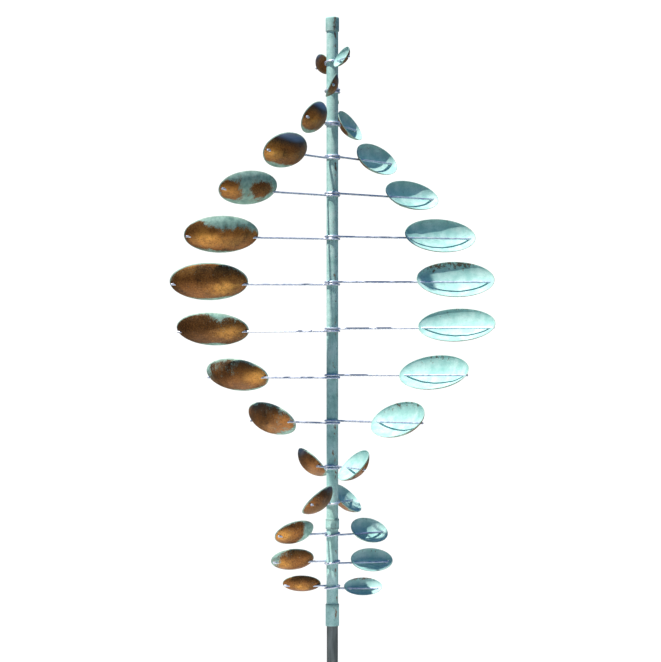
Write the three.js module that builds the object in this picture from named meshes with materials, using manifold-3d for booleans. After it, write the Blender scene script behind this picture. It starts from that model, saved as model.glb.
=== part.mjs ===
// Copper wind spinner: fifteen pairs of oval dished cups on steel rods wrapped round a copper tube.
// The tube, rods and cups turn as one rotor on a steel spindle that stands in a steel pipe mast.
// Millimetres, +Z up along the mast. The origin is the centre of the mast's foot.
import * as THREE from 'three';
import { mergeVertices } from 'three/addons/utils/BufferGeometryUtils.js';
import Module from 'manifold-3d';

const wasm = await Module();
wasm.setup();

// Driving dimensions
const gap = 0.3; // between pieces that touch
const tubeDiameter = 22.2; // three-quarter inch copper water tube
const tubeWall = 1.15;
const fittingWall = 1.4; // copper cap, coupling and collar that slip over the tube
const mastDiameter = 21.3; // half-inch steel pipe
const mastBore = 15.8;
const mastExposed = 200; // mast that shows below the rotor
const mastInCollar = 15; // mast that stands up inside the base collar
const spindleDiameter = 12.7;
const ballDiameter = 9.5;
const rotorHeight = 1150; // base collar's lower edge to the top of the cap
const capHeight = 27;
const collarHeight = 41;
const couplingHeight = 19;
const couplingTop = 202; // above the base collar's lower edge
const bushLength = 25;

const rodDiameter = 4;
const rodStep = 22.5; // degrees of wrap between two stations of the rod
const legRise = 4.8; // one leg of a rod lies this much above the other
const bendRadius = 6; // where a leg turns into the wrap
const rodPoke = 6; // rod that shows past the outer hole of a cup

const sheet = 1.2; // copper sheet of the cups
const cupDepthRatio = 0.55; // depth over half the width
const holeInset = 8.5; // rim's end to the rod hole
const cupLift = 2; // the holes lie this much below the middle of the cup
const cupSides = 16;
const cupRings = 3;

// The maker's cutting list, from the top pair down: height of the rod above the collar's lower edge,
// bearing of its lower leg in degrees, reach from the axis to the cup's middle, cup length and width,
// and pitch in degrees, the upper rim leaning the way the rotor turns.
const cuttingList = [
  { height: 1064, bearing: 288, reach: 66, length: 74, width: 41, pitch: 26 },
  { height: 1010, bearing: 271, reach: 72, length: 88, width: 46, pitch: 26 },
  { height: 948, bearing: 251, reach: 93, length: 108, width: 64, pitch: 29 },
  { height: 885, bearing: 233, reach: 138, length: 122, width: 72, pitch: 31 },
  { height: 815, bearing: 217, reach: 191, length: 127, width: 74, pitch: 38 },
  { height: 733, bearing: 196, reach: 214, length: 142, width: 81, pitch: 36 },
  { height: 647, bearing: 182, reach: 233, length: 148, width: 84, pitch: 36 },
  { height: 559, bearing: 163, reach: 242, length: 147, width: 80, pitch: 40 },
  { height: 471, bearing: 146, reach: 226, length: 145, width: 82, pitch: 41 },
  { height: 385, bearing: 129, reach: 193, length: 136, width: 83, pitch: 40 },
  { height: 300, bearing: 109, reach: 131, length: 102, width: 72, pitch: 41 },
  { height: 233, bearing: 71, reach: 74, length: 96, width: 71, pitch: 43 },
  { height: 173, bearing: 41, reach: 91, length: 88, width: 60, pitch: 42 },
  { height: 120, bearing: 19, reach: 78, length: 84, width: 51, pitch: 36 },
  { height: 73, bearing: -1, reach: 58, length: 72, width: 37, pitch: 31 },
];

// Worked out from the driving dimensions
const rad = THREE.MathUtils.degToRad;
const rotorBase = mastExposed;
const tubeRadius = tubeDiameter / 2;
const tubeBore = tubeRadius - tubeWall;
const fittingBore = tubeRadius + gap;
const fittingRadius = fittingBore + fittingWall;
const spindleRadius = spindleDiameter / 2;
const ballRadius = ballDiameter / 2;
const rodRadius = rodDiameter / 2;
const holeRadius = rodRadius + 1.5 * gap;
const wrapRadius = (tubeRadius + gap + rodRadius) / Math.cos(rad(rodStep / 2));
const tubeFoot = rotorBase + collarHeight / 2;
const tubeJoint = rotorBase + couplingTop - couplingHeight / 2;
const tubeTop = rotorBase + rotorHeight - fittingWall - gap;
const mastTop = rotorBase + mastInCollar;
const footPlugHeight = 20;
const headSocket = 40;
const headFlange = 3;
const pivotPlugHeight = 28;
const pivotPlugFoot = tubeTop - pivotPlugHeight;
const ballCentre = pivotPlugFoot;

// Materials
function paint(color, roughness, metalness) {
  return new THREE.MeshStandardMaterial({ color, roughness, metalness });
}
const brownCopper = paint(0x6b4325, 0.5, 0.7);
const verdigris = paint(0x8cc4b8, 0.7, 0.2);
const stainless = paint(0xc9ccd4, 0.25, 0.95);
const darkSteel = paint(0x4a504e, 0.5, 0.6);
const bronze = paint(0x9a7440, 0.4, 0.8);
const nylon = paint(0xe8e4d8, 0.6, 0);

function part(name, geometry, material) {
  const mesh = new THREE.Mesh(geometry, material);
  mesh.name = name;
  return mesh;
}

// A round solid turned from an outline of [radius, height] points, stood up along +Z
function turned(outline, sides = 24) {
  const points = outline.map(([r, z]) => new THREE.Vector2(r, z));
  const geometry = new THREE.LatheGeometry(points, sides);
  geometry.rotateX(Math.PI / 2);
  return geometry;
}

function sleeve(inner, outer, bottom, top, sides) {
  const outline = [[inner, bottom], [outer, bottom], [outer, top], [inner, top], [inner, bottom]];
  return turned(outline, sides);
}

// Points [radius, height] on a ball's seat, which clears the ball by the gap
function seatArc(fromAngle, toAngle, steps) {
  const points = [];
  for (let i = 0; i <= steps; i += 1) {
    const angle = rad(fromAngle + ((toAngle - fromAngle) * i) / steps);
    const r = (ballRadius + gap) * Math.cos(angle);
    points.push([Math.max(r, 0), ballCentre + (ballRadius + gap) * Math.sin(angle)]);
  }
  return points;
}

// Booleans: a closed three.js geometry to a manifold solid, and back
function toSolid(geometry) {
  const bare = geometry.clone();
  bare.deleteAttribute('normal');
  bare.deleteAttribute('uv');
  const merged = mergeVertices(bare, 1e-4);
  const mesh = new wasm.Mesh({
    numProp: 3,
    vertProperties: new Float32Array(merged.attributes.position.array),
    triVerts: new Uint32Array(merged.index.array),
  });
  return new wasm.Manifold(mesh);
}

function toGeometry(solid) {
  const mesh = solid.getMesh();
  const geometry = new THREE.BufferGeometry();
  geometry.setAttribute('position', new THREE.BufferAttribute(mesh.vertProperties, 3));
  geometry.setIndex(new THREE.BufferAttribute(mesh.triVerts, 1));
  geometry.computeVertexNormals();
  return geometry;
}

// A bent rod's centre line, with one station of the sweep at each of its points
class BentRod extends THREE.Curve {
  constructor(points) {
    super();
    this.points = points;
  }

  getPointAt(u) {
    return this.points[Math.round(u * (this.points.length - 1))].clone();
  }

  getTangentAt(u) {
    const last = this.points.length - 1;
    const i = Math.round(u * last);
    const before = this.points[Math.max(i - 1, 0)];
    const after = this.points[Math.min(i + 1, last)];
    const here = this.points[i];
    const arriving = here.clone().sub(before).normalize();
    const leaving = after.clone().sub(here).normalize();
    return arriving.add(leaving).normalize();
  }
}

// One rod: lower leg in along +X, bend, one and a half turns anticlockwise, bend, upper leg out along -X.
// It is level for the first half turn, climbs through the second and is level for the third.
function rodCentreLine(legEnd) {
  const bendCentre = Math.sqrt((wrapRadius + bendRadius) ** 2 - bendRadius ** 2);
  const bendAngle = Math.acos(bendRadius / (wrapRadius + bendRadius));
  const bendSteps = 3;
  const low = -legRise / 2;
  const lowerLeg = [new THREE.Vector3(legEnd, 0, low)];
  for (let i = 0; i < bendSteps; i += 1) {
    const angle = (bendAngle * i) / bendSteps;
    const x = bendCentre - bendRadius * Math.sin(angle);
    const y = bendRadius - bendRadius * Math.cos(angle);
    lowerLeg.push(new THREE.Vector3(x, y, low));
  }
  const upperLeg = lowerLeg.map((p) => new THREE.Vector3(-p.x, p.y, -p.z)).reverse();
  const wrapStart = Math.PI / 2 - bendAngle;
  const wrapEnd = 3 * Math.PI - wrapStart;
  const wrapSteps = Math.round((wrapEnd - wrapStart) / rad(rodStep));
  const wrap = [];
  for (let i = 0; i <= wrapSteps; i += 1) {
    const angle = wrapStart + ((wrapEnd - wrapStart) * i) / wrapSteps;
    const climb = THREE.MathUtils.smoothstep(angle, Math.PI, 2 * Math.PI);
    const z = low + legRise * climb;
    wrap.push(new THREE.Vector3(wrapRadius * Math.cos(angle), wrapRadius * Math.sin(angle), z));
  }
  return [...lowerLeg, ...wrap, ...upperLeg];
}

function rodGeometry(legEnd) {
  const points = rodCentreLine(legEnd);
  const section = new THREE.Shape();
  section.absarc(0, 0, rodRadius, 0, 2 * Math.PI);
  return new THREE.ExtrudeGeometry(section, {
    steps: points.length - 1,
    curveSegments: 3,
    extrudePath: new BentRod(points),
  });
}

// Depth of the dish at a fraction of the way from its middle to its rim
function dishDepth(fraction, depth) {
  return depth * (1 - fraction ** 2) ** 0.75;
}

function rodDepthIn(cup) {
  const fraction = 1 - (2 * holeInset) / cup.length;
  return dishDepth(fraction, (cup.width / 2) * cupDepthRatio) - sheet / 2;
}

// An oval dished cup with its rim in the XZ plane, bulging towards +Y, and the rod's two holes along X
function cupGeometry(cup) {
  const depth = (cup.width / 2) * cupDepthRatio;
  const outside = [];
  const inside = [];
  const innerEdge = 1 - (4 * sheet) / (cup.length + cup.width);
  for (let ring = 0; ring <= cupRings; ring += 1) {
    const fraction = Math.sin((Math.PI / 2) * (ring / cupRings));
    outside.push(new THREE.Vector2(fraction, dishDepth(fraction, depth)));
    inside.unshift(new THREE.Vector2(fraction * innerEdge, dishDepth(fraction, depth - sheet)));
  }
  const shell = new THREE.LatheGeometry([...inside.reverse(), ...outside.reverse()], cupSides);
  shell.scale(cup.length / 2, 1, cup.width / 2);
  const drill = new THREE.CylinderGeometry(holeRadius, holeRadius, 2 * cup.length, 8);
  drill.rotateZ(Math.PI / 2);
  drill.translate(0, rodDepthIn(cup), -cupLift);
  return toGeometry(toSolid(shell).subtract(toSolid(drill)));
}

// A cup on the leg that runs along +X of its group
function cupOnLeg(name, cup, legHeight) {
  const mesh = part(name, cupGeometry(cup), brownCopper);
  const pitch = rad(cup.pitch);
  const depth = rodDepthIn(cup);
  const y = cupLift * Math.sin(pitch) - depth * Math.cos(pitch);
  const z = cupLift * Math.cos(pitch) + depth * Math.sin(pitch);
  mesh.position.set(cup.reach, y, legHeight + z);
  mesh.rotation.x = -pitch;
  return mesh;
}

function tier(cup, number) {
  const group = new THREE.Group();
  const label = String(number).padStart(2, '0');
  group.position.z = rotorBase + cup.height;
  group.rotation.z = rad(cup.bearing);
  const legEnd = cup.reach + cup.length / 2 - holeInset + rodPoke;
  group.add(part(`arm_${label}`, rodGeometry(legEnd), stainless));
  group.add(cupOnLeg(`cup_${label}_a`, cup, -legRise / 2));
  const farSide = new THREE.Group();
  farSide.rotation.z = Math.PI;
  farSide.add(cupOnLeg(`cup_${label}_b`, cup, legRise / 2));
  group.add(farSide);
  return group;
}

// The rotor's copper tube and its slip-on fittings
function rotorTube() {
  const group = new THREE.Group();
  const couplingFoot = rotorBase + couplingTop - couplingHeight;
  const capFoot = rotorBase + rotorHeight - capHeight;
  const capInside = tubeTop + gap;
  const capTop = rotorBase + rotorHeight;
  const chamfer = 1;
  const cap = [
    [0, capInside],
    [fittingBore, capInside],
    [fittingBore, capFoot],
    [fittingRadius, capFoot],
    [fittingRadius, capTop - chamfer],
    [fittingRadius - chamfer, capTop],
    [0, capTop],
  ];
  const collarFoot = rotorBase;
  const collarTop = rotorBase + collarHeight;
  const collar = [
    [fittingBore, collarFoot],
    [fittingRadius - chamfer, collarFoot],
    [fittingRadius, collarFoot + chamfer],
    [fittingRadius, collarTop],
    [fittingBore, collarTop],
    [fittingBore, collarFoot],
  ];
  group.add(part('upper_tube', sleeve(tubeBore, tubeRadius, tubeJoint + gap / 2, tubeTop), verdigris));
  group.add(part('lower_tube', sleeve(tubeBore, tubeRadius, tubeFoot, tubeJoint - gap / 2), verdigris));
  const coupling = sleeve(fittingBore, fittingRadius, couplingFoot, couplingFoot + couplingHeight);
  group.add(part('tube_coupling', coupling, verdigris));
  group.add(part('top_cap', turned(cap), verdigris));
  group.add(part('base_collar', turned(collar), verdigris));
  return group;
}

// What the rotor turns on: a plug that sits on the ball, and two bushes round the spindle
function rotorBearings() {
  const group = new THREE.Group();
  const outer = tubeBore - gap;
  const inner = spindleRadius + gap;
  const plug = [
    ...seatArc(90, 0, 4),
    [outer, pivotPlugFoot],
    [outer, tubeTop],
    [0, tubeTop],
  ];
  const upperBushTop = pivotPlugFoot - 10;
  const lowerBushFoot = tubeFoot + 5;
  group.add(part('pivot_plug', turned(plug, 16), bronze));
  group.add(part('upper_bush', sleeve(inner, outer, upperBushTop - bushLength, upperBushTop, 16), nylon));
  group.add(part('lower_bush', sleeve(inner, outer, lowerBushFoot, lowerBushFoot + bushLength, 16), nylon));
  return group;
}

// What stands still: the pipe mast, its two plugs, the spindle and the ball on top of it
function mastGroup() {
  const group = new THREE.Group();
  const spindleTop = ballCentre - 2 * gap;
  const spindleFoot = footPlugHeight + gap;
  const socketRadius = mastBore / 2 - gap;
  const spindle = [
    [0, spindleFoot],
    [spindleRadius, spindleFoot],
    [spindleRadius, spindleTop],
    ...seatArc(-8, -90, 4),
  ];
  const head = [
    [spindleRadius + gap, mastTop - headSocket],
    [socketRadius, mastTop - headSocket],
    [socketRadius, mastTop + gap],
    [mastDiameter / 2 - gap, mastTop + gap],
    [mastDiameter / 2 - gap, mastTop + headFlange],
    [spindleRadius + gap, mastTop + headFlange],
    [spindleRadius + gap, mastTop - headSocket],
  ];
  const footPlug = new THREE.CylinderGeometry(socketRadius, socketRadius, footPlugHeight, 16);
  footPlug.rotateX(Math.PI / 2);
  footPlug.translate(0, 0, footPlugHeight / 2);
  const ball = new THREE.SphereGeometry(ballRadius, 12, 8);
  ball.rotateX(Math.PI / 2);
  ball.translate(0, 0, ballCentre);
  group.add(part('mast', sleeve(mastBore / 2, mastDiameter / 2, 0, mastTop), darkSteel));
  group.add(part('mast_foot_plug', footPlug, darkSteel));
  group.add(part('mast_head', turned(head, 16), bronze));
  group.add(part('spindle', turned(spindle, 16), stainless));
  group.add(part('pivot_ball', ball, stainless));
  return group;
}

const spinner = new THREE.Group();
spinner.add(mastGroup());
spinner.add(rotorTube());
spinner.add(rotorBearings());
cuttingList.forEach((cup, index) => spinner.add(tier(cup, index + 1)));

export default spinner;
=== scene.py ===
# Copper wind spinner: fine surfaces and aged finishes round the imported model, in metres.
import math

import bmesh
import bpy
import numpy as np
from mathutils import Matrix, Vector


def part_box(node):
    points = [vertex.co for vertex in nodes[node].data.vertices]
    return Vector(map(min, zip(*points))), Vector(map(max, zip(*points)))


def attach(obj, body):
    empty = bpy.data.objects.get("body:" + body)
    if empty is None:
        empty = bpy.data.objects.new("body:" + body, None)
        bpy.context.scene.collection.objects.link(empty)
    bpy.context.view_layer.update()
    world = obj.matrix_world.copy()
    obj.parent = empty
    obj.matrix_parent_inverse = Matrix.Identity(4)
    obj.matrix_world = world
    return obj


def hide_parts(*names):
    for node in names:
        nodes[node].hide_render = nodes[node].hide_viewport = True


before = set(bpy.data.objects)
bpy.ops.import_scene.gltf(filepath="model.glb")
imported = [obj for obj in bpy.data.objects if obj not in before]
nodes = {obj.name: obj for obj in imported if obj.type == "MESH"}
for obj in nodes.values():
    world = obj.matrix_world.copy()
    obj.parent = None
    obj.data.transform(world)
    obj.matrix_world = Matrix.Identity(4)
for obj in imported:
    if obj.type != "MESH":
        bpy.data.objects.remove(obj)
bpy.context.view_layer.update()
mm = 0.001
up = np.array([0.0, 0.0, 1.0])
print("frame loaded:", len(nodes), "nodes")

# Camera, light and floor

view = {
    "distance": 3.982,  # from the rotor's axis, along -Y
    "eyeHeight": 0.682,
    "lens": 114.6,
    "shiftX": -0.0028,
    "shiftY": 0.0598,
}
floor = {"radius": 0.9, "thickness": 0.012, "edge": 0.003, "gap": 0.1 * mm, "sides": 128}
sun = {
    "bearing": 212,  # degrees anticlockwise from +X, so it stands on the left and a little in front
    "elevation": 66,
    "softness": 1.2,  # degrees across
    "strength": 5.9,
    "colour": (1.0, 0.97, 0.92),
}
sky = {
    "ground": "#b5ab98",
    "horizon": "#86b6e2",
    "zenith": "#3d7ccc",
    "strength": 0.5,
    "backdrop": 1.1,  # what shows behind the object
}


def tone(code):
    # A six-figure colour code to linear red, green, blue and alpha
    levels = np.array([int(code[i : i + 2], 16) for i in (1, 3, 5)]) / 255
    linear = np.where(levels <= 0.04045, levels / 12.92, ((levels + 0.055) / 1.055) ** 2.4)
    return (*linear.tolist(), 1.0)


def makeCamera():
    lens = bpy.data.cameras.new("camera")
    lens.lens = view["lens"]
    lens.sensor_width = 36
    lens.shift_x = view["shiftX"]
    lens.shift_y = view["shiftY"]
    lens.dof.use_dof = False
    camera = bpy.data.objects.new("camera", lens)
    camera.location = (0, -view["distance"], view["eyeHeight"])
    camera.rotation_euler = (math.pi / 2, 0, 0)
    bpy.context.scene.collection.objects.link(camera)
    bpy.context.scene.camera = camera


def makeSun():
    lamp = bpy.data.lights.new("sun", "SUN")
    lamp.angle = math.radians(sun["softness"])
    lamp.energy = sun["strength"]
    lamp.color = sun["colour"]
    light = bpy.data.objects.new("sun", lamp)
    tilt = math.radians(90 - sun["elevation"])
    light.rotation_euler = (tilt, 0, math.radians(sun["bearing"] + 90))
    bpy.context.scene.collection.objects.link(light)


# Node graph helpers


def addNode(tree, kind, inputs=None, **settings):
    node = tree.nodes.new(kind)
    for name, value in settings.items():
        setattr(node, name, value)
    for key, value in (inputs or {}).items():
        if isinstance(value, bpy.types.NodeSocket):
            tree.links.new(value, node.inputs[key])
        else:
            node.inputs[key].default_value = value
    return node


def calc(tree, operation, a, b=0.5, clamp=False):
    node = addNode(tree, "ShaderNodeMath", {0: a, 1: b}, operation=operation, use_clamp=clamp)
    return node.outputs[0]


def blend(tree, factor, a, b, how="MIX"):
    inputs = {0: factor, 6: a, 7: b}
    node = addNode(tree, "ShaderNodeMix", inputs, data_type="RGBA", blend_type=how)
    return node.outputs[2]


def ramp(tree, factor, stops):
    node = addNode(tree, "ShaderNodeValToRGB", {0: factor})
    elements = node.color_ramp.elements
    while len(elements) < len(stops):
        elements.new(0.5)
    for element, (place, colour) in zip(elements, stops):
        element.position = place
        element.color = tone(colour) if isinstance(colour, str) else (colour,) * 3 + (1,)
    return node.outputs[0]


def step(tree, factor, low, high):
    # 0 below low, 1 above high and a smooth climb between
    inputs = {0: factor, 1: low, 2: high}
    return addNode(tree, "ShaderNodeMapRange", inputs, interpolation_type="SMOOTHSTEP").outputs[0]


def grain(tree, scale, detail=4, stretch=(1, 1, 1), turn=(0, 0, 0), shift=(0, 0, 0), rough=0.55):
    # Noise on the object's own coordinates, stretched and turned by a Mapping node
    place = addNode(tree, "ShaderNodeTexCoord").outputs["Object"]
    radians = tuple(math.radians(angle) for angle in turn)
    inputs = {"Vector": place, "Location": shift, "Rotation": radians, "Scale": stretch}
    mapped = addNode(tree, "ShaderNodeMapping", inputs).outputs[0]
    inputs = {"Vector": mapped, "Scale": scale, "Detail": detail, "Roughness": rough}
    return addNode(tree, "ShaderNodeTexNoise", inputs).outputs[0]


def painted(tree, name):
    # The three numbers that a mesh carries in its attribute of this name
    vector = addNode(tree, "ShaderNodeAttribute", attribute_name=name).outputs["Vector"]
    return addNode(tree, "ShaderNodeSeparateXYZ", {0: vector}).outputs


def bump(tree, shader, height, distance, strength=1.0):
    inputs = {"Height": height, "Distance": distance, "Strength": strength}
    tree.links.new(addNode(tree, "ShaderNodeBump", inputs).outputs[0], shader.inputs["Normal"])


def newFinish(name):
    material = bpy.data.materials.new(name)
    material.use_nodes = True
    tree = material.node_tree
    return material, tree, tree.nodes["Principled BSDF"]


def join(tree, shader, **sockets):
    for name, value in sockets.items():
        tree.links.new(value, shader.inputs[name.replace("_", " ")])


# World: pale sky over warm ground for the light, plain white behind the object


def makeWorld():
    world = bpy.data.worlds.new("sky")
    bpy.context.scene.world = world
    world.use_nodes = True
    tree = world.node_tree
    direction = addNode(tree, "ShaderNodeTexCoord").outputs["Generated"]
    height = addNode(tree, "ShaderNodeSeparateXYZ", {0: direction}).outputs[2]
    level = calc(tree, "MULTIPLY_ADD", height)
    stops = [(0.0, sky["ground"]), (0.46, sky["ground"]), (0.52, sky["horizon"]), (1.0, sky["zenith"])]
    colour = ramp(tree, level, stops)
    ambient = addNode(tree, "ShaderNodeBackground", {0: colour, 1: sky["strength"]}).outputs[0]
    backdrop = addNode(tree, "ShaderNodeBackground", {0: (1, 1, 1, 1), 1: sky["backdrop"]}).outputs[0]
    seen = addNode(tree, "ShaderNodeLightPath").outputs["Is Camera Ray"]
    mixed = addNode(tree, "ShaderNodeMixShader", {0: seen, 1: ambient, 2: backdrop}).outputs[0]
    tree.links.new(mixed, tree.nodes["World Output"].inputs["Surface"])


# Finishes

copperBrown = {
    "pit": "#38241a",
    "dark": "#57391d",
    "mid": "#97612e",
    "light": "#bb7b3c",
    # The glow tone is burnish plus a painted reflection of the lit ground
    "burnishAndSheen": "#ffb95a",
    "scratch": "#c48a4e",
    "worn": "#9a6c44",
    # Painted reflection of the sky on the upper rim, from dark grey to pale blue-grey
    "dimSkyReflection": "#3b3936",
    "sky": "#9ba6b4",
}
# Verdigris from its deepest to its chalkiest tone: inside the cups, on their outside, and on the tube;
# the noise levels at which the tones lie; and the tones of its streaks and dust
verdigris = {
    "inner": ("#8cc4bd", "#a6d3cb", "#bce0d8", "#d2efe8"),
    "outer": ("#6b9f93", "#90beb0", "#acd6c7", "#cbeadd"),
    "tube": ("#8bbcb3", "#aedad0", "#c2e8df", "#d8f3ec"),
}
verdigrisLevels = (0.28, 0.45, 0.57, 0.74)
streakTones = {"inner": "#93c9c0", "tube": "#6c9d92"}
dustTones = {"inner": "#83b7ae", "tube": "#64958b"}
rust = {"freckle": "#7a4c2c", "lip": "#8a6a4e"}
spotTones = [(0.3, "#6a4630"), (0.55, "#9a6a42"), (0.75, "#b98a58")]  # bare spots on the tube
# Painted shade in the joints where the fittings end on the tube
jointShade = "#33423f"


def verdigrisColour(tree, kind, scale, detail=8):
    cloud = grain(tree, scale, detail, rough=0.62)
    return ramp(tree, cloud, list(zip(verdigrisLevels, verdigris[kind])))


def centred(tree, noise, amount):
    # Noise moved to lie about 0 and scaled
    return calc(tree, "MULTIPLY", calc(tree, "SUBTRACT", noise, 0.5), amount)


def outerFinish():
    # Burnished brown copper with scratches, an orange glow (burnish plus painted reflection of the lit
    # ground), and verdigris, each as much as the cup's patina attribute says: verdigris, glow, and painted
    # sky reflection. The dish attribute darkens it and gives the rim.
    material, tree, shader = newFinish("copper_outer")
    dark, edge = painted(tree, "dish")[1:]
    green, burnishAndSheen, skyReflection = painted(tree, "patinaAndSheen")
    clouds = grain(tree, 30, 7, rough=0.6)
    stops = [(0.32, copperBrown["dark"]), (0.5, copperBrown["mid"]), (0.7, copperBrown["light"])]
    brown = blend(tree, dark, ramp(tree, clouds, stops), tone(copperBrown["dark"]))
    mottled = grain(tree, 75, 6, shift=(3, 1, 4), rough=0.6)
    # Orange glow: burnish plus a painted reflection of the lit ground below
    burnishAndSheenMask = calc(tree, "MULTIPLY", burnishAndSheen, step(tree, mottled, 0.2, 0.7), clamp=True)
    colour = blend(tree, burnishAndSheenMask, brown, tone(copperBrown["burnishAndSheen"]))
    scratches = grain(tree, 130, 3, (1, 1, 16), (0, 52, 20))
    lines = calc(tree, "MULTIPLY", step(tree, scratches, 0.58, 0.74), 0.3)
    colour = blend(tree, lines, colour, tone(copperBrown["scratch"]))
    fine = grain(tree, 430, 3, shift=(4, 4, 4))
    pits = calc(tree, "MULTIPLY", step(tree, fine, 0.52, 0.66), 0.55)
    colour = blend(tree, pits, colour, tone(copperBrown["pit"]))
    bright = calc(tree, "MULTIPLY", step(tree, fine, 0.48, 0.36), 0.35)
    colour = blend(tree, bright, colour, tone(copperBrown["scratch"]))
    # Painted reflection of the sky along the upper rim
    reflectedSky = ramp(tree, skyReflection, [(0.35, copperBrown["dimSkyReflection"]), (0.8, copperBrown["sky"])])
    colour = blend(tree, calc(tree, "MULTIPLY", skyReflection, 1.6, clamp=True), colour, reflectedSky)
    ragged = grain(tree, 55, 9, (1, 1, 0.6), shift=(7, 2, 0), rough=0.7)
    drips = grain(tree, 85, 4, (1, 1, 0.12), shift=(1, 5, 2))
    dust = grain(tree, 480, 2, shift=(6, 6, 1))
    field = calc(tree, "ADD", green, centred(tree, ragged, 1.3))
    field = calc(tree, "ADD", field, centred(tree, drips, 0.6))
    field = calc(tree, "ADD", field, centred(tree, dust, 0.9))
    mask = calc(tree, "MULTIPLY", step(tree, field, 0.34, 0.78), 0.92)
    specks = step(tree, grain(tree, 330, 3, shift=(2, 9, 1)), 0.67, 0.71)
    specks = calc(tree, "MULTIPLY", specks, calc(tree, "ADD", green, 0.2), clamp=True)
    mask = calc(tree, "MAXIMUM", mask, specks)
    colour = blend(tree, mask, colour, verdigrisColour(tree, "outer", 95))
    worn = calc(tree, "MULTIPLY", step(tree, edge, 0.955, 0.985), 0.15)
    colour = blend(tree, worn, colour, tone(copperBrown["worn"]))
    metal = calc(tree, "SUBTRACT", 0.75, calc(tree, "MULTIPLY", mask, 0.75), clamp=True)
    rough = calc(tree, "ADD", centred(tree, clouds, 0.3), calc(tree, "MULTIPLY", mask, 0.3))
    rough = calc(tree, "ADD", rough, 0.42, clamp=True)
    join(tree, shader, Base_Color=colour, Metallic=metal, Roughness=rough)
    relief = calc(tree, "ADD", calc(tree, "MULTIPLY", mask, 0.6), calc(tree, "MULTIPLY", scratches, 0.4))
    relief = calc(tree, "ADD", relief, calc(tree, "MULTIPLY", dust, 0.5))
    bump(tree, shader, relief, 0.2 * mm, 0.7)
    return material


def innerFinish():
    # Pale verdigris with rust-brown freckles where the dish attribute calls for them, and a browner edge
    material, tree, shader = newFinish("copper_inner")
    freckling, _, edge = painted(tree, "dish")
    colour = verdigrisColour(tree, "inner", 48, 10)
    streaks = step(tree, grain(tree, 60, 5, (1, 1, 0.14), shift=(4, 4, 1)), 0.5, 0.78)
    colour = blend(tree, calc(tree, "MULTIPLY", streaks, 0.5), colour, tone(streakTones["inner"]))
    dust = step(tree, grain(tree, 480, 3, shift=(1, 3, 8)), 0.52, 0.7)
    colour = blend(tree, calc(tree, "MULTIPLY", dust, 0.35), colour, tone(dustTones["inner"]))
    freckles = grain(tree, 150, 7, (1, 1, 0.8), shift=(5, 0, 6), rough=0.72)
    field = calc(tree, "ADD", freckles, calc(tree, "MULTIPLY", freckling, 0.2))
    bare = calc(tree, "MULTIPLY", step(tree, field, 0.66, 0.74), 0.85)
    colour = blend(tree, bare, colour, tone(rust["freckle"]))
    lip = step(tree, calc(tree, "ADD", edge, centred(tree, freckles, 0.04)), 0.982, 0.996)
    lip = calc(tree, "MULTIPLY", lip, 0.55)
    colour = blend(tree, lip, colour, tone(rust["lip"]))
    metal = calc(tree, "MULTIPLY", calc(tree, "MAXIMUM", lip, bare), 0.5)
    rough = calc(tree, "ADD", centred(tree, freckles, 0.3), 0.62, clamp=True)
    join(tree, shader, Base_Color=colour, Metallic=metal, Roughness=rough)
    relief = calc(tree, "SUBTRACT", grain(tree, 300, 6), calc(tree, "MULTIPLY", bare, 0.5))
    bump(tree, shader, relief, 0.25 * mm, 0.6)
    return material


def tubeFinish():
    # Verdigris tube and fittings, with brown-orange spots where the strip attribute calls for them, and
    # painted shade in the joints
    material, tree, shader = newFinish("copper_tube")
    strip, dark = painted(tree, "strip")[:2]
    colour = verdigrisColour(tree, "tube", 55, 10)
    runs = step(tree, grain(tree, 70, 5, (1, 1, 0.1), shift=(2, 2, 7)), 0.5, 0.8)
    colour = blend(tree, calc(tree, "MULTIPLY", runs, 0.5), colour, tone(streakTones["tube"]))
    dust = step(tree, grain(tree, 560, 3, shift=(3, 3, 3)), 0.54, 0.68)
    colour = blend(tree, calc(tree, "MULTIPLY", dust, 0.45), colour, tone(dustTones["tube"]))
    blotch = grain(tree, 120, 6, (1, 1, 0.45), shift=(6, 1, 2), rough=0.66)
    mask = step(tree, calc(tree, "ADD", blotch, calc(tree, "MULTIPLY", strip, 0.16)), 0.68, 0.76)
    bare = ramp(tree, grain(tree, 160, 5), spotTones)
    colour = blend(tree, calc(tree, "MULTIPLY", mask, 0.85), colour, bare)
    # Painted shade in the joints, where the strip attribute's second number says
    colour = blend(tree, dark, colour, tone(jointShade))
    metal = calc(tree, "MULTIPLY", mask, 0.6)
    rough = calc(tree, "SUBTRACT", 0.6, calc(tree, "MULTIPLY", mask, 0.15))
    join(tree, shader, Base_Color=colour, Metallic=metal, Roughness=rough)
    relief = calc(tree, "SUBTRACT", grain(tree, 320, 6), calc(tree, "MULTIPLY", mask, 0.5))
    bump(tree, shader, relief, 0.2 * mm, 0.6)
    return material


def metalFinish(name, dark, light, roughness, metallic=1.0, scale=120, stretch=(1, 1, 1), depth=0.05):
    # Metal whose tone and gloss wander with a stretched grain, with fine specks of dirt
    material, tree, shader = newFinish(name)
    wander = grain(tree, scale, 5, stretch)
    colour = ramp(tree, wander, [(0.3, dark), (0.7, light)])
    darkening = step(tree, grain(tree, 600, 3, shift=(8, 8, 2)), 0.66, 0.74)
    colour = blend(tree, calc(tree, "MULTIPLY", darkening, 0.5), colour, tone(dark))
    rough = calc(tree, "ADD", calc(tree, "MULTIPLY", wander, 0.25), roughness - 0.12, clamp=True)
    shader.inputs["Metallic"].default_value = metallic
    join(tree, shader, Base_Color=colour, Roughness=rough)
    bump(tree, shader, wander, depth * mm, 0.6)
    return material


def floorFinish():
    material, tree, shader = newFinish("floor_plaster")
    colour = ramp(tree, grain(tree, 9, 4), [(0.35, "#d6d6d2"), (0.7, "#e6e5e1")])
    shader.inputs["Roughness"].default_value = 0.85
    join(tree, shader, Base_Color=colour)
    bump(tree, shader, grain(tree, 260, 3), 0.2 * mm, 0.5)
    return material


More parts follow.
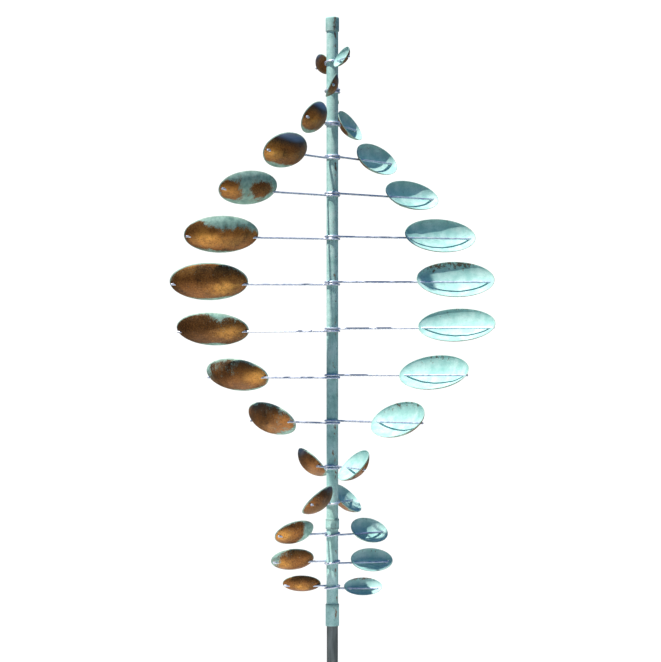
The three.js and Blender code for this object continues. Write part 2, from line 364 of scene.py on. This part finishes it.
finishes = {
    "outer": outerFinish(),
    "inner": innerFinish(),
    "tube": tubeFinish(),
    # The rod's bluish dark tone is a painted reflection of the sky on the steel
    "rod": metalFinish("steel_rod", "#aebbdc", "#f4f6fa", 0.42, 0.6, 160, (1, 1, 1), 0.02),
    "spindle": metalFinish("steel_spindle", "#8b8f92", "#c4c7c8", 0.3, 1.0, 200, (1, 1, 0.05), 0.04),
    "mast": metalFinish("steel_mast", "#454b49", "#868c8a", 0.46, 0.7, 110, (1, 1, 0.1), 0.1),
    "bronze": metalFinish("bronze_bearing", "#6f4d22", "#b98d4e", 0.36, 1.0, 140, (1, 1, 1), 0.05),
    "nylon": metalFinish("nylon_bush", "#d2ccba", "#ebe6d8", 0.6, 0.0, 110, (1, 1, 1), 0.04),
    "floor": floorFinish(),
}
print("finishes made:", len(finishes))

# Surfaces


weldDistance = 0.002 * mm  # points nearer than this are one


def gridFaces(rows, columns, closed=False):
    # Quads between neighbouring rows and columns; columns always close on themselves, rows only if asked
    r, c = np.meshgrid(np.arange(rows if closed else rows - 1), np.arange(columns), indexing="ij")
    nextRow, nextColumn = (r + 1) % rows, (c + 1) % columns
    here, beyond = r * columns, nextRow * columns
    corners = [here + c, here + nextColumn, beyond + nextColumn, beyond + c]
    return np.stack(corners, -1).reshape(-1, 4)


def meshFromGrid(name, points, closed=False):
    # A grid of points [row, column, xyz] as a closed mesh, with the repeated points of a pole merged
    rows, columns, _ = points.shape
    mesh = bpy.data.meshes.new(name)
    mesh.from_pydata(points.reshape(-1, 3).tolist(), [], gridFaces(rows, columns, closed).tolist())
    work = bmesh.new()
    work.from_mesh(mesh)
    bmesh.ops.remove_doubles(work, verts=work.verts, dist=weldDistance)
    work.to_mesh(mesh)
    work.free()
    return mesh


def placePiece(name, mesh, body, slot, replaced, *materials):
    for material in materials:
        mesh.materials.append(material)
    piece = bpy.data.objects.new(name, mesh)
    bpy.context.scene.collection.objects.link(piece)
    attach(piece, body)
    if replaced:
        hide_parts(replaced)
    return piece


def verticesOf(mesh):
    flat = np.empty(len(mesh.vertices) * 3)
    mesh.vertices.foreach_get("co", flat)
    return flat.reshape(-1, 3)


def paintMesh(mesh, name, values):
    layer = mesh.attributes.new(name, "FLOAT_VECTOR", "POINT")
    layer.data.foreach_set("vector", np.ascontiguousarray(values, dtype=np.float32).ravel())


def smoothMesh(mesh, sharpAngle=40):
    mesh.shade_smooth()
    mesh.set_sharp_from_angle(angle=math.radians(sharpAngle))


def hump(x, middle, width):
    # A bell of height 1 at middle, about width wide
    return np.exp(-(((x - middle) / width) ** 2))


def smoothStep(x, low, high):
    t = np.clip((x - low) / (high - low), 0, 1)
    return t * t * (3 - 2 * t)


# Turned pieces: an outline of radius and height with softened corners, carried round the axis

tube = {
    "wall": 1.15 * mm,
    "soften": 0.4 * mm,
    "sides": 96,
    "longestFace": 6 * mm,
    "stripBearing": -58,  # degrees, the middle of the strip of bare spots
    "stripWidth": 26,
}
fitting = {
    "wall": 1.4 * mm,
    "soften": 0.5 * mm,
    "shoulder": 2.6 * mm,  # round edge of the cap
    "crown": 0.5 * mm,  # rise of the cap's top
    # Width and inset of the painted shade in the joints where a fitting ends
    "jointShadeWidth": 0.6 * mm,
    "jointShadeInset": {"cap": 0.4 * mm, "coupling": 0.5 * mm, "collar": 0.3 * mm},
}
mast = {"wall": 2.75 * mm, "soften": 0.6 * mm}
solder = {"collar": 1.3 * mm, "coupling": 0.7 * mm}  # leg of the fillet where the fitting ends


def softOutline(corners, radius, steps=5):
    # Each corner of a closed outline becomes a short parabola between points `radius` away on its two sides
    corners = np.asarray(corners, float)
    towardsLast = np.roll(corners, 1, 0) - corners
    towardsNext = np.roll(corners, -1, 0) - corners
    radii = np.broadcast_to(radius, len(corners))[:, None]
    start = corners + towardsLast * radii / np.linalg.norm(towardsLast, axis=1, keepdims=True)
    end = corners + towardsNext * radii / np.linalg.norm(towardsNext, axis=1, keepdims=True)
    t = np.linspace(0, 1, steps)[None, :, None]
    curve = (1 - t) ** 2 * start[:, None] + 2 * t * (1 - t) * corners[:, None] + t**2 * end[:, None]
    return curve.reshape(-1, 2)


def turnedPoints(outline, sides, longest=tube["longestFace"]):
    # Long straight stretches are split first, then every outline point (r, z) goes to (r cos a, r sin a, z)
    following = np.roll(outline, -1, 0)
    counts = np.maximum(1, np.ceil(np.linalg.norm(following - outline, axis=1) / longest)).astype(int)
    index = np.repeat(np.arange(len(outline)), counts)
    part = np.arange(counts.sum()) - np.repeat(np.cumsum(counts) - counts, counts)
    t = (part / counts[index])[:, None]
    fine = outline[index] * (1 - t) + following[index] * t
    angle = np.linspace(0, 2 * math.pi, sides, endpoint=False)
    r, z = fine[:, :1], fine[:, 1:]
    return np.stack([r * np.cos(angle), r * np.sin(angle), z + 0 * angle], -1)


def paintStrip(mesh, darkening):
    # First number: how bare the copper is, most along a strip down one side; second: painted shade of the
    # joints at given heights
    p = verticesOf(mesh)
    bearing = np.degrees(np.arctan2(p[:, 1], p[:, 0]))
    along = p[:, 2]
    wander = 7 * np.sin(along / 0.031) + 5 * np.sin(along / 0.013 + 1)
    strip = hump(bearing, tube["stripBearing"] + wander, tube["stripWidth"])
    strip = strip * (0.75 + 0.25 * np.sin(along / 0.043 + 2))
    dark = np.zeros(len(p))
    for height in darkening:
        dark = np.maximum(dark, 0.5 * hump(along, height, fitting["jointShadeWidth"]))
    paintMesh(mesh, "strip", np.stack([strip, dark, dark], 1))


def makeSleeve(node, wall, soften, finish, slot, body, darkening=()):
    low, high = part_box(node)
    outer = high[0]
    inner = outer - wall
    corners = [(inner, low[2]), (outer, low[2]), (outer, high[2]), (inner, high[2])]
    outline = softOutline(corners, min(soften, wall * 0.4))
    mesh = meshFromGrid(node + "_fine", turnedPoints(outline, tube["sides"]), True)
    smoothMesh(mesh, 60)
    paintStrip(mesh, darkening)
    placePiece(node + "_fine", mesh, body, slot, node, finishes[finish])


def makeCap():
    # A slip-on cap: crowned top, softened shoulder, open underneath
    low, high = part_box("top_cap")
    outer, inner = high[0], high[0] - fitting["wall"]
    crown, ceiling = high[2], high[2] - fitting["wall"]
    t = np.linspace(0, math.pi / 2, 9)
    shoulder, dome = fitting["shoulder"], fitting["crown"]
    arcRadius = outer - shoulder + shoulder * np.cos(t)
    arcHeight = crown - dome - shoulder + shoulder * np.sin(t)
    arc = np.stack([arcRadius, arcHeight], 1)
    s = np.linspace(0, 1, 7)[1:]
    top = np.stack([(outer - shoulder) * (1 - s), crown - dome + dome * (1 - (1 - s) ** 2)], 1)
    outline = np.array([(0, ceiling), (inner, ceiling), (inner, low[2]), (outer, low[2])])
    outline = np.concatenate([outline, arc, top])
    longest = 2 * (crown - low[2])  # no stretch of the outline is split
    mesh = meshFromGrid("top_cap_fine", turnedPoints(outline, tube["sides"], longest))
    smoothMesh(mesh, 50)
    # Painted shade where the cap ends on the tube
    paintStrip(mesh, [low[2] + fitting["jointShadeInset"]["cap"]])
    placePiece("top_cap_fine", mesh, "rotor", "tube_copper", "top_cap", finishes["tube"])


def makeSolder(name, radius, height, leg):
    # A fillet of solder in the corner where a fitting ends on the tube, its size wandering round the joint
    angle = np.linspace(0, 2 * math.pi, tube["sides"], endpoint=False)
    size = leg * (1 + 0.18 * np.sin(3 * angle + 1) + 0.1 * np.sin(7 * angle))
    t = np.linspace(0, math.pi / 2, 6)
    reach = np.concatenate([[0], 1 - 0.75 * np.sin(t), [0]])
    climb = np.concatenate([[-0.2], 1 - 0.95 * np.cos(t), [1.15]])
    climb[1] = -0.2
    r = radius + reach[:, None] * abs(size)[None]
    z = height + climb[:, None] * size[None]
    points = np.stack([r * np.cos(angle), r * np.sin(angle), z], -1)
    if leg < 0:
        points = points[::-1]
    mesh = meshFromGrid(name, points, True)
    smoothMesh(mesh, 60)
    # Painted shade of the joint over the fillet
    paintStrip(mesh, [height])
    placePiece(name, mesh, "rotor", "tube_copper", None, finishes["tube"])


def makeTubeAndMast():
    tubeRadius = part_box("lower_tube")[1][0]
    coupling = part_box("tube_coupling")
    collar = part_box("base_collar")
    inset = fitting["jointShadeInset"]
    # Heights of the painted shade in the joints at the fittings' ends
    couplingEnds = [coupling[0][2] + inset["coupling"], coupling[1][2] - inset["coupling"]]
    collarEnds = [collar[1][2] - inset["collar"]]
    sleeves = [("upper_tube", tube, []), ("lower_tube", tube, [])]
    sleeves += [("tube_coupling", fitting, couplingEnds), ("base_collar", fitting, collarEnds)]
    for node, size, ends in sleeves:
        makeSleeve(node, size["wall"], size["soften"], "tube", "tube_copper", "rotor", ends)
    makeCap()
    makeSolder("collar_solder", tubeRadius, collar[1][2], solder["collar"])
    makeSolder("coupling_solder_top", tubeRadius, coupling[1][2], solder["coupling"])
    makeSolder("coupling_solder_bottom", tubeRadius, coupling[0][2], -solder["coupling"])
    makeSleeve("mast", mast["wall"], mast["soften"], "mast", "mast_steel", "mast")


# Rods: the round bar carried along legs, bends and a wrap of one and a half turns

rod = {
    "bendRadius": 6 * mm,
    "sides": 20,
    "clearance": 0.08 * mm,  # between the wrap and the tube
    "endRound": 0.9 * mm,
    "wrapSteps": 150,
}


def armPlace(node):
    # Bearing of the lower leg, mean height, rise between the legs, and the legs' end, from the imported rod
    p = verticesOf(nodes[node].data)
    reach = np.hypot(p[:, 0], p[:, 1])
    ends = p[reach > reach.max() - 0.1 * mm]
    middle = (p[:, 2].min() + p[:, 2].max()) / 2
    lower, upper = ends[ends[:, 2] < middle], ends[ends[:, 2] > middle]
    out = (lower.mean(0) - upper.mean(0)) * (1, 1, 0)
    return {
        "out": out / np.linalg.norm(out),
        "height": middle,
        "rise": upper[:, 2].mean() - lower[:, 2].mean(),
        "legEnd": reach.max(),
        "radius": (p[:, 2].max() - p[:, 2].min() - upper[:, 2].mean() + lower[:, 2].mean()) / 2,
    }


def rodPath(legEnd, wrapRadius, rise):
    # Straight in, a bend, one and a half turns that climb smoothly in the middle one, and out again
    r = rod["bendRadius"]
    bendCentre = math.sqrt((wrapRadius + r) ** 2 - r**2)
    bendAngle = math.acos(r / (wrapRadius + r))
    legs = legEnd - rod["endRound"] * np.array([0, 0.05, 0.2, 0.5, 1, 2])
    legs = np.concatenate([legs, np.linspace(legs[-1], bendCentre, 12)[1:-1]])
    a = np.linspace(0, bendAngle, 12, endpoint=False)
    x = np.concatenate([legs, bendCentre - r * np.sin(a)])
    y = np.concatenate([0 * legs, r - r * np.cos(a)])
    inward = np.stack([x, y, 0 * x - rise / 2], 1)
    outward = (inward * (-1, 1, -1))[::-1]
    start = math.pi / 2 - bendAngle
    angle = np.linspace(start, 3 * math.pi - start, rod["wrapSteps"])
    z = rise * (smoothStep(angle, math.pi, 2 * math.pi) - 0.5)
    wrap = np.stack([wrapRadius * np.cos(angle), wrapRadius * np.sin(angle), z], 1)
    return np.concatenate([inward, wrap, outward])


def makeRod(number, place, tubeRadius):
    node = f"arm_{number:02d}"
    wrapRadius = tubeRadius + rod["clearance"] + place["radius"]
    path = rodPath(place["legEnd"], wrapRadius, place["rise"])
    side = np.cross(up, place["out"])
    path = path @ np.stack([place["out"], side, up]) + up * place["height"]
    tangent = np.gradient(path, axis=0)
    tangent /= np.linalg.norm(tangent, axis=1, keepdims=True)
    across = np.cross(tangent, up)
    across /= np.linalg.norm(across, axis=1, keepdims=True)
    above = np.cross(across, tangent)
    distance = np.concatenate([[0], np.cumsum(np.linalg.norm(np.diff(path, axis=0), axis=1))])
    fromEnd = np.minimum(distance, distance[-1] - distance) / rod["endRound"]
    swell = np.sqrt(1 - (1 - np.clip(fromEnd, 0, 1)) ** 2)
    swell = np.where(fromEnd < 1e-6, 0, 0.25 + 0.75 * swell)
    radius = (place["radius"] * swell)[:, None, None]
    angle = np.linspace(0, 2 * math.pi, rod["sides"], endpoint=False)[None, :, None]
    ring = np.cos(angle) * across[:, None] - np.sin(angle) * above[:, None]
    mesh = meshFromGrid(node + "_fine", path[:, None] + radius * ring)
    smoothMesh(mesh, 50)
    placePiece(node + "_fine", mesh, "rotor", "rod_steel", node, finishes["rod"])


# Cups: an oval dish in two skins with a rounded rim, drilled for its rod

cup = {
    "sheet": 1.2 * mm,
    "holeClearance": 0.45 * mm,
    "rings": 30,
    "sides": 112,
    "dent": 0.22 * mm,
    "dentLength": (16, 34),  # mm, shortest and longest wave of the beaten surface
    "bareWidth": 0.27,  # of a bare patch and of a glow (burnish plus painted reflection of the lit ground), over half the dish
    "burnishAndSheenWidth": 0.32,
    "rimStart": 0.985,  # the inside finish ends at this fraction of the way out
}

# How each pair has aged, from the top pair down. Verdigris: over all, along the upper and lower rims, and
# at the inner and outer ends. Bare patches and burnished glows with a painted reflection of the lit ground:
# place along and up the dish, then strength; a bare patch below 0 is one of verdigris. Painted reflection of
# the sky on the upper rim, rust freckles under the upper rim inside, and how dark the brown is.
ageing = [
    {
        "green": (0.0, 0.1, 0.4, 0.0, 0.1),
        "bare": [],
        "burnishAndSheen": [(0.3, -0.2, 0.3)],
        "skyReflection": 0.6, "rust": 0.2, "dark": 0.3,
    },
    {
        "green": (0.0, 0.1, 0.5, 0.0, 0.1),
        "bare": [],
        "burnishAndSheen": [(-0.2, 0.0, 0.3)],
        "skyReflection": 0.7, "rust": 0.2, "dark": 0.3,
    },
    {
        "green": (0.0, 0.1, 0.8, 0.1, 0.0),
        "bare": [],
        "burnishAndSheen": [(0.5, 0.0, 0.5)],
        "skyReflection": 1.0, "rust": 0.3, "dark": 0.2,
    },
    {
        "green": (0.0, 0.1, 0.85, 0.1, 0.0),
        "bare": [],
        "burnishAndSheen": [(0.82, 0.0, 0.9)],
        "skyReflection": 1.0, "rust": 0.5, "dark": 0.2,
    },
    {
        "green": (0.75, 0.1, 0.5, 0.0, 0.0),
        "bare": [(0.8, 0.1, 1.2), (0.66, -0.35, 0.9), (-0.28, 0.2, 1.7)],
        "burnishAndSheen": [(0.8, -0.05, 0.45)],
        "skyReflection": 0.0, "rust": 0.3, "dark": 0.3,
    },
    {
        "green": (0.0, 1.0, 0.75, 0.0, 0.0),
        "bare": [(0.85, 0.5, 1.0), (-0.5, 0.5, 0.3)],
        "burnishAndSheen": [(0.45, 0.05, 1.0), (-0.25, -0.1, 0.25)],
        "skyReflection": 0.0, "rust": 0.2, "dark": 0.1,
    },
    {
        "green": (0.0, 0.1, 0.8, 0.1, 0.0),
        "bare": [],
        "burnishAndSheen": [(-0.36, -0.05, 0.9), (0.6, 0.85, 0.35)],
        "skyReflection": 0.0, "rust": 1.0, "dark": 0.35,
    },
    {
        "green": (0.0, 0.15, 0.6, 0.1, 0.0),
        "bare": [(-0.3, 1.0, -0.8), (0.0, -0.8, -0.9)],
        "burnishAndSheen": [(-0.5, 0.1, 0.6)],
        "skyReflection": 0.0, "rust": 0.4, "dark": 0.75,
    },
    {
        "green": (0.12, 0.2, 0.7, 0.1, 0.45),
        "bare": [(-0.6, 0.05, 0.7)],
        "burnishAndSheen": [(-0.75, 0.1, 0.8)],
        "skyReflection": 0.1, "rust": 0.6, "dark": 0.35,
    },
    {
        "green": (0.08, 0.2, 0.7, 0.2, 0.0),
        "bare": [],
        "burnishAndSheen": [(0.0, -0.2, 0.3)],
        "skyReflection": 0.35, "rust": 0.8, "dark": 0.0,
    },
    {
        "green": (0.0, 0.1, 0.4, 0.1, 0.1),
        "bare": [],
        "burnishAndSheen": [(-0.2, -0.3, 0.4)],
        "skyReflection": 0.6, "rust": 0.4, "dark": 0.1,
    },
    {
        "green": (0.0, 0.1, 0.3, 0.1, 0.1),
        "bare": [],
        "burnishAndSheen": [(0.1, -0.3, 0.3)],
        "skyReflection": 0.5, "rust": 0.3, "dark": 0.2,
    },
    {
        "green": (0.05, 0.2, 0.4, 1.6, 0.0),
        "bare": [],
        "burnishAndSheen": [(0.7, 0.0, 0.9)],
        "skyReflection": 0.0, "rust": 0.4, "dark": 0.0,
    },
    {
        "green": (0.1, 0.2, 0.4, 0.0, 0.5),
        "bare": [(0.1, -0.2, 0.5)],
        "burnishAndSheen": [(0.45, -0.15, 0.9)],
        "skyReflection": 0.0, "rust": 0.4, "dark": 0.2,
    },
    {
        "green": (0.0, 0.1, 0.2, 0.1, 0.0),
        "bare": [],
        "burnishAndSheen": [(0.0, -0.1, 1.0)],
        "skyReflection": 0.0, "rust": 1.0, "dark": 0.3,
    },
]


def dishDepth(fraction):
    # Depth at a fraction of the way out to the rim, over the depth at the middle
    return (1 - np.clip(fraction, 0, 1) ** 2) ** 0.75


def cupPlace(node, out):
    # The dish's own axes and sizes: out along it, bulge square to its rim, across it from lower to upper rim.
    # Seen along its length, its two farthest points are the lower and upper rim.
    p = verticesOf(nodes[node].data)
    flat = p @ np.stack([np.cross(up, out), up], 1)
    gaps = np.linalg.norm(flat[:, None] - flat[None], axis=2)
    one, other = np.unravel_index(gaps.argmax(), gaps.shape)
    across = (flat[one] - flat[other]) / gaps.max() * np.sign(flat[one, 1] - flat[other, 1])
    across = across[0] * np.cross(up, out) + across[1] * up
    axes = np.stack([out, np.cross(across, out), across])
    local = p @ axes.T
    low, high = local.min(0), local.max(0)
    middle = (low + high) / 2
    return {
        "axes": axes,
        "centre": np.array([middle[0], low[1], middle[2]]),
        "length": high[0] - low[0],
        "width": high[2] - low[2],
        "depth": high[1] - low[1],
    }


def dents(x, z, seed):
    # Slow hand-beaten unevenness: a few crossed waves with seeded directions and phases
    chance = np.random.default_rng(seed)
    turn = chance.uniform(0, math.pi, 5)
    length = chance.uniform(*cup["dentLength"], 5) * mm
    phase = chance.uniform(0, 2 * math.pi, 5)
    along = [x * math.cos(t) + z * math.sin(t) for t in turn]
    waves = [np.sin(2 * math.pi * a / w + p) for a, w, p in zip(along, length, phase)]
    return cup["dent"] * sum(waves) / 2


def dishSkins(place, seed):
    # Outer skin from its pole to the rim, half round over the rim, inner skin back to its pole
    turn = np.linspace(0, math.pi / 2, cup["rings"])
    fraction = np.sin(turn)
    innerEdge = 1 - 4 * cup["sheet"] / (place["length"] + place["width"])
    half = np.linspace(0, math.pi, 7)[1:-1]
    rim = 1 - (1 - innerEdge) * (1 - np.cos(half)) / 2
    f = np.concatenate([fraction, rim, fraction[::-1] * innerEdge])
    depths = (place["depth"], place["depth"] - cup["sheet"])
    y = np.concatenate([
        dishDepth(fraction) * depths[0],
        -0.3 * cup["sheet"] * np.sin(half),
        dishDepth(fraction[::-1]) * depths[1],
    ])
    angle = np.linspace(0, 2 * math.pi, cup["sides"], endpoint=False)
    x = f[:, None] * np.cos(angle) * place["length"] / 2
    z = f[:, None] * np.sin(angle) * place["width"] / 2
    y = y[:, None] + dents(x, z, seed) * (1 - f[:, None] ** 4)
    return np.stack([x, y, z], -1)


drill = {"sides": 32, "start": 30 * mm, "overrun": 30 * mm}  # starts this far out, ends past the leg's end


def drillBit(rodPlace, outward):
    # A round bar along the rod's leg, a little larger than the rod
    radius = rodPlace["radius"] + cup["holeClearance"]
    height = rodPlace["height"] - outward * rodPlace["rise"] / 2
    ends = np.array([drill["start"], rodPlace["legEnd"] + drill["overrun"]])
    out = rodPlace["out"] * outward
    angle = np.linspace(0, 2 * math.pi, drill["sides"], endpoint=False)[None, :, None]
    ring = np.cos(angle) * np.cross(out, up) - np.sin(angle) * up
    centres = ends[[0, 0, 1, 1]][:, None, None] * out + height * up
    points = centres + np.array([0, radius, radius, 0])[:, None, None] * ring
    mesh = meshFromGrid("drill", points)
    bit = bpy.data.objects.new("drill", mesh)
    bpy.context.scene.collection.objects.link(bit)
    return bit


def drilled(mesh, bit):
    # The mesh less the drill, as a new mesh with no modifier left on it
    blank = bpy.data.objects.new("blank", mesh)
    bpy.context.scene.collection.objects.link(blank)
    cut = blank.modifiers.new("drill", "BOOLEAN")
    cut.operation = "DIFFERENCE"
    cut.solver = "EXACT"
    cut.object = bit
    graph = bpy.context.evaluated_depsgraph_get()
    result = bpy.data.meshes.new_from_object(blank.evaluated_get(graph))
    bitMesh = bit.data
    bpy.data.objects.remove(blank)
    bpy.data.objects.remove(bit)
    bpy.data.meshes.remove(mesh)
    bpy.data.meshes.remove(bitMesh)
    return result


def spots(x, z, places, width):
    # Soft round spots on the dish, each as strong as its third number says
    return sum((strong * hump(x, px, width) * hump(z, pz, 1.2 * width) for px, pz, strong in places), 0 * x)


def paintCup(mesh, place, age, seed):
    # dish: freckling, darkness and distance out to the rim; patina: verdigris, glow (burnish plus painted
    # reflection of the lit ground) and painted sky reflection
    local = verticesOf(mesh) @ place["axes"].T - place["centre"]
    x = local[:, 0] / (place["length"] / 2)
    z = local[:, 2] / (place["width"] / 2)
    edge = np.clip(np.hypot(x, z), 0, 1)
    freckling = age["rust"] * smoothStep(z - 0.15 * x, 0.35, 0.9) * smoothStep(edge, 0.55, 0.95)
    paintMesh(mesh, "dish", np.stack([freckling, age["dark"] + 0 * z, edge], 1))
    chance = np.random.default_rng(100 + seed)
    drift = chance.uniform(-0.25, 0.25, 4)
    overall, top, low, inner, outer = age["green"]
    green = overall + top * smoothStep(z + drift[0] * x, 0.15, 0.85)
    green = green + low * smoothStep(-z + 0.4 * drift[1] * x, 0.45, 0.85)
    green = green + inner * smoothStep(-x + drift[2] * z, -0.1, 0.6)
    green = green + outer * smoothStep(x + drift[3] * z, 0.4, 0.9)
    green = green + 0.2 * smoothStep(edge, 0.9, 0.97) - spots(x, z, age["bare"], cup["bareWidth"])
    green = green + 1.2 * smoothStep(edge, 0.975, 0.99)
    # The glow: burnish plus a painted reflection of the lit ground
    burnishAndSheen = spots(x, z, age["burnishAndSheen"], cup["burnishAndSheenWidth"])
    # Painted reflection of the sky, strongest along the upper rim
    skyReflection = age["skyReflection"] * smoothStep(z, 0.3, 0.95) * (1 - 0.4 * np.abs(x))
    paintMesh(mesh, "patinaAndSheen", np.stack([green, burnishAndSheen, skyReflection], 1))


def makeCup(number, letter, rodPlace):
    node = f"cup_{number:02d}_{letter}"
    outward = 1 if letter == "a" else -1
    place = cupPlace(node, rodPlace["out"] * outward)
    seed = 2 * number + (outward < 0)
    points = (dishSkins(place, seed) + place["centre"]) @ place["axes"]
    mesh = meshFromGrid(node + "_blank", points)
    mesh = drilled(mesh, drillBit(rodPlace, outward))
    mesh.name = node + "_fine"
    centres = np.empty(len(mesh.polygons) * 3)
    mesh.polygons.foreach_get("center", centres)
    centres = centres.reshape(-1, 3) @ place["axes"].T - place["centre"]
    f = np.hypot(centres[:, 0] / (place["length"] / 2), centres[:, 2] / (place["width"] / 2))
    middleSkin = dishDepth(f) * place["depth"] - 0.5 * cup["sheet"]
    inside = (centres[:, 1] < middleSkin) & (f < cup["rimStart"])
    smoothMesh(mesh, 45)
    paintCup(mesh, place, ageing[number - 1], seed)
    placePiece(node + "_fine", mesh, "rotor", "cup_copper", node, finishes["outer"], finishes["inner"])
    mesh.polygons.foreach_set("material_index", inside.astype(np.int32))


def makeTiers():
    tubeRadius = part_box("upper_tube")[1][0]
    for number in range(1, len(ageing) + 1):
        place = armPlace(f"arm_{number:02d}")
        makeRod(number, place, tubeRadius)
        makeCup(number, "a", place)
        makeCup(number, "b", place)
    print("rods and cups made:", len(ageing), "pairs")


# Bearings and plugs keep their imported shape

kept = {
    "mast_foot_plug": "mast",
    "mast_head": "bronze",
    "spindle": "spindle",
    "pivot_ball": "spindle",
    "pivot_plug": "bronze",
    "upper_bush": "nylon",
    "lower_bush": "nylon",
}


def finishKept():
    for node, finish in kept.items():
        for slot in nodes[node].material_slots:
            slot.material = finishes[finish]


def makeFloor():
    # A thick round disc with a softened edge, its top at the mast's foot
    r, t, e = floor["radius"], floor["thickness"], floor["edge"]
    corner = np.linspace(0, math.pi / 2, 6)
    low = np.stack([r - e + e * np.sin(corner), -t + e - e * np.cos(corner)], 1)
    high = np.stack([r - e + e * np.cos(corner), -e + e * np.sin(corner)], 1)
    outline = np.concatenate([[[0, -t]], low, high, [[0, 0]]]) - (0, floor["gap"])
    angle = np.linspace(0, 2 * math.pi, floor["sides"], endpoint=False)
    radius, z = outline[:, :1], outline[:, 1:]
    points = np.stack([radius * np.cos(angle), radius * np.sin(angle), z + 0 * angle], -1)
    mesh = meshFromGrid("floor", points)
    smoothMesh(mesh)
    mesh.materials.append(finishes["floor"])
    disc = bpy.data.objects.new("floor", mesh)
    bpy.context.scene.collection.objects.link(disc)


bpy.context.scene.view_settings.view_transform = "Standard"
makeCamera()
makeSun()
makeWorld()
makeFloor()
print("stage set")
makeTubeAndMast()
print("tube, fittings and mast made")
makeTiers()
finishKept()
